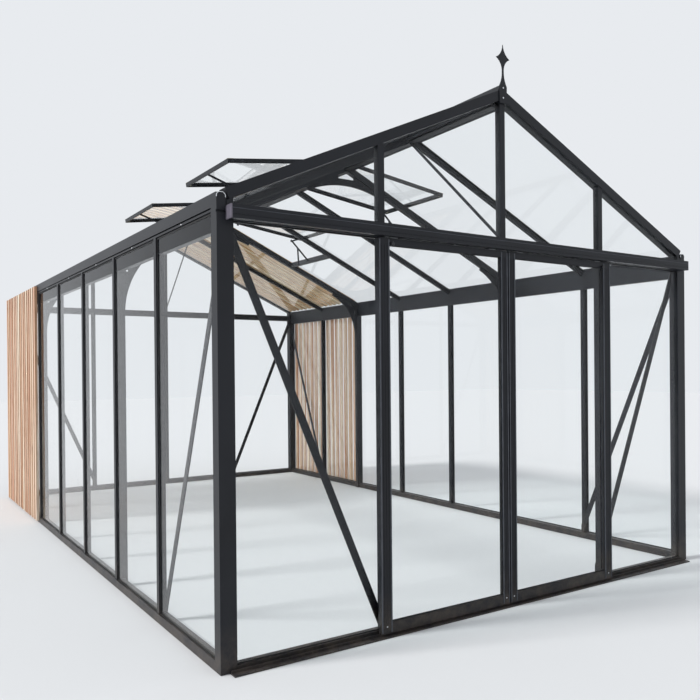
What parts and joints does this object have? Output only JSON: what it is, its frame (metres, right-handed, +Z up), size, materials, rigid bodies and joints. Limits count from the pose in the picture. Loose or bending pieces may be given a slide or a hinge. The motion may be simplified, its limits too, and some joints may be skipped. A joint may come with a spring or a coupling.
{
  "type": "glass greenhouse",
  "caption": "Glass greenhouse with dark metal bars, double sliding door, propped roof vents, arched trusses and timber shading slats over its rear bays.",
  "frame": {"origin": "centre of the plan box on the ground, with the door track and the slats in the box", "axes": "+Z up, +Y from the door gable to the rear gable, +X to the right seen from the door"},
  "size_m": [3.075, 5.326, 2.8238],
  "materials": {
    "powder_coat": "satin",
    "glass": "clear",
    "timber": "planed, untreated",
    "roller_metal": "brushed"
  },
  "bodies": {
    "house": {"apex_finial": "powder_coat", "corner_posts": "powder_coat", "door_floor_guide": "powder_coat", "door_track": "powder_coat", "eave_gussets": "powder_coat", "front_base_rail": "powder_coat", "front_gable_bars": "powder_coat", "front_gable_glass": "glass", "front_tie_beam": "powder_coat", "front_verge": "powder_coat", "front_wall_bars": "powder_coat", "front_wall_glass": "glass", "gable_wall_braces": "powder_coat", "gutter_end_caps": "powder_coat", "left_base_rail": "powder_coat", "left_eave_beam": "powder_coat", "left_gutter": "powder_coat", "left_roof_bars": "powder_coat", "left_roof_glass": "glass", "left_roof_slats": "timber", "left_truss_rafters": "powder_coat", "left_vent_frames": "powder_coat", "left_wall_bars": "powder_coat", "left_wall_glass": "glass", "left_wall_slats": "timber", "rear_base_rail": "powder_coat", "rear_gable_bars": "powder_coat", "rear_gable_glass": "glass", "rear_tie_beam": "powder_coat", "rear_verge": "powder_coat", "rear_wall_bars": "powder_coat", "rear_wall_glass": "glass", "ridge_beam": "powder_coat", "ridge_braces": "powder_coat", "ridge_gussets": "powder_coat", "right_base_rail": "powder_coat", "right_eave_beam": "powder_coat", "right_gutter": "powder_coat", "right_roof_bars": "powder_coat", "right_roof_glass": "glass", "right_roof_slats": "timber", "right_truss_rafters": "powder_coat", "right_vent_frames": "powder_coat", "right_wall_bars": "powder_coat", "right_wall_glass": "glass", "right_wall_slats": "timber", "side_wall_braces": "powder_coat", "track_end_caps": "powder_coat", "truss_posts": "powder_coat", "vent_arms": "powder_coat", "vent_glass": "glass", "vent_sills": "powder_coat"},
    "left_door": {"left_door_frame": "powder_coat", "left_door_glass": "glass", "left_door_hangers": "roller_metal"},
    "right_door": {"right_door_frame": "powder_coat", "right_door_glass": "glass", "right_door_hangers": "roller_metal"}
  },
  "joints": [
    {"name": "left_door_slide", "type": "slide", "parent": "house", "child": "left_door", "axis": [-1, 0, 0], "range_m": [0, 0.69]},
    {"name": "right_door_slide", "type": "slide", "parent": "house", "child": "right_door", "axis": [1, 0, 0], "range_m": [0, 0.69]}
  ]
}
